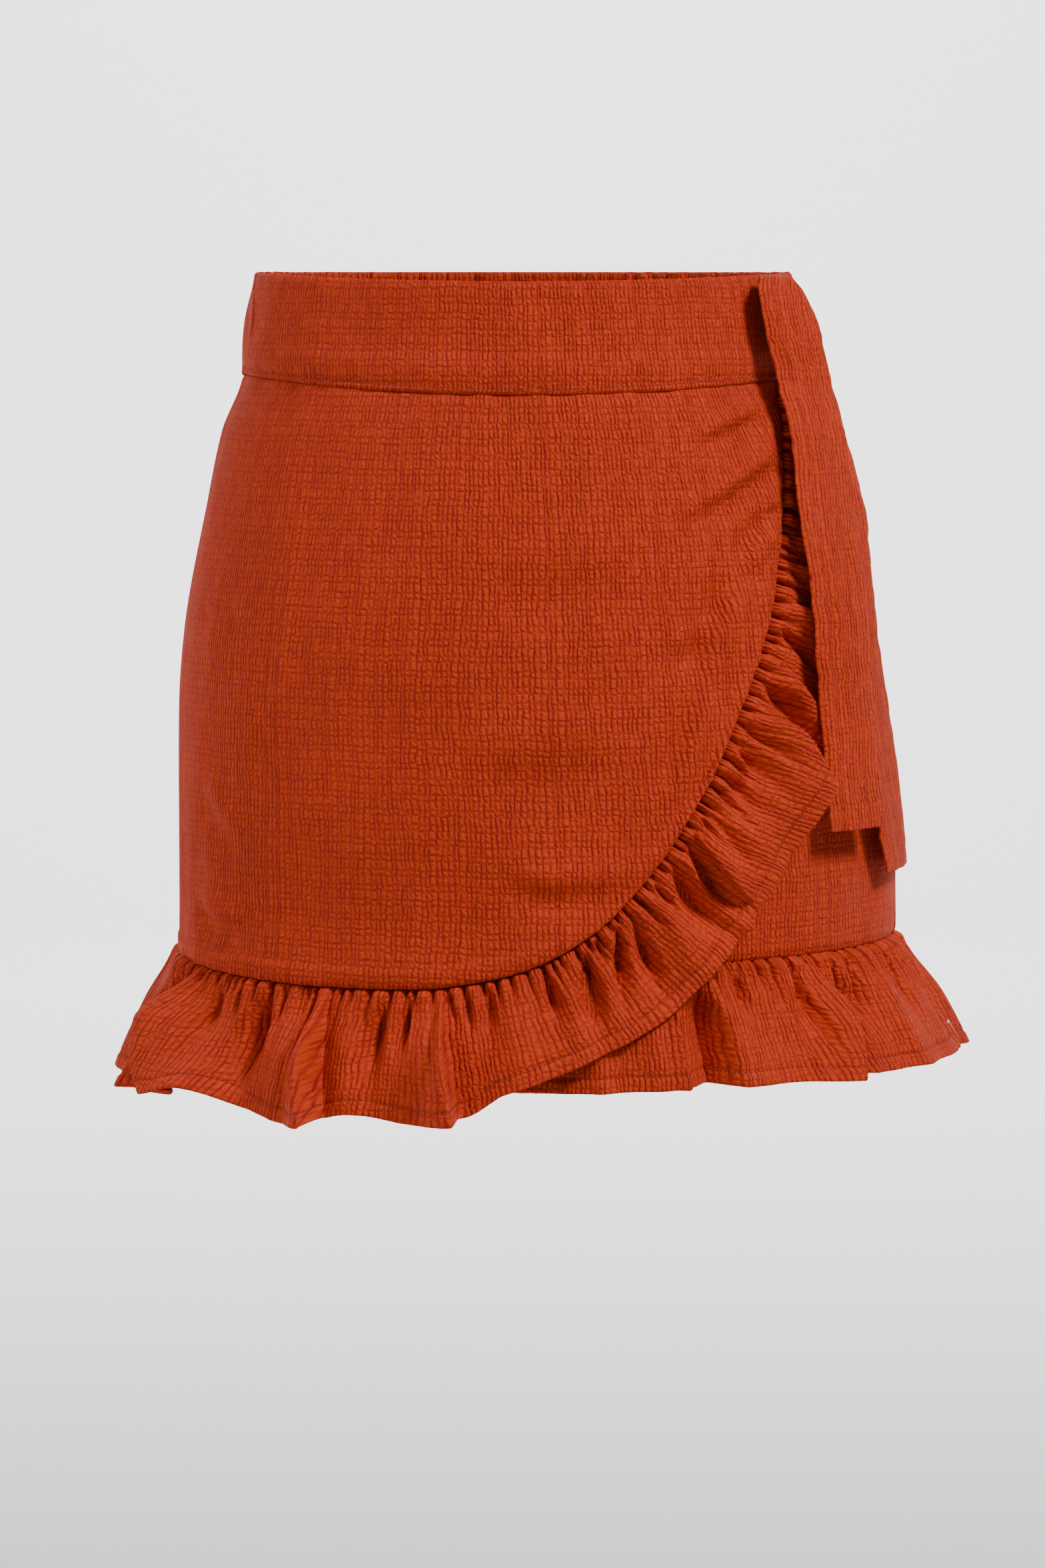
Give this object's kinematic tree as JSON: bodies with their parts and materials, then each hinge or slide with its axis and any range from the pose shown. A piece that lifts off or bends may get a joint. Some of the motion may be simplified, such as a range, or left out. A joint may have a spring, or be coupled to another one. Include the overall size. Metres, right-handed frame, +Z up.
{
  "type": "skort",
  "caption": "Mock-wrap skort with a smooth front and gathered back waistband, a ruffle down the curved wrap edge and round the hem, a hip tie and sewn-in shorts.",
  "frame": {"origin": "middle of the waist opening, level with the top of the waistband at its sides", "axes": "+Z is up, out of the waist opening; the front looks along -Y, and the tie hangs on the +X side"},
  "size_m": [0.3692, 0.276, 0.3465],
  "materials": {
    "crepe": "matte rust-orange crinkle crepe",
    "label": "smooth woven tape, red and white"
  },
  "bodies": {
    "root": {"waistband_front": "crepe", "waistband_under": "crepe", "waistband_back": "crepe", "wrap_panel": "crepe", "under_panel": "crepe", "back_panel": "crepe", "wrap_ruffle": "crepe", "under_ruffle": "crepe", "back_ruffle": "crepe", "tie_front": "crepe", "tie_back": "crepe", "hem_label": "label", "shorts_left": "crepe", "shorts_right": "crepe"}
  },
  "joints": []
}
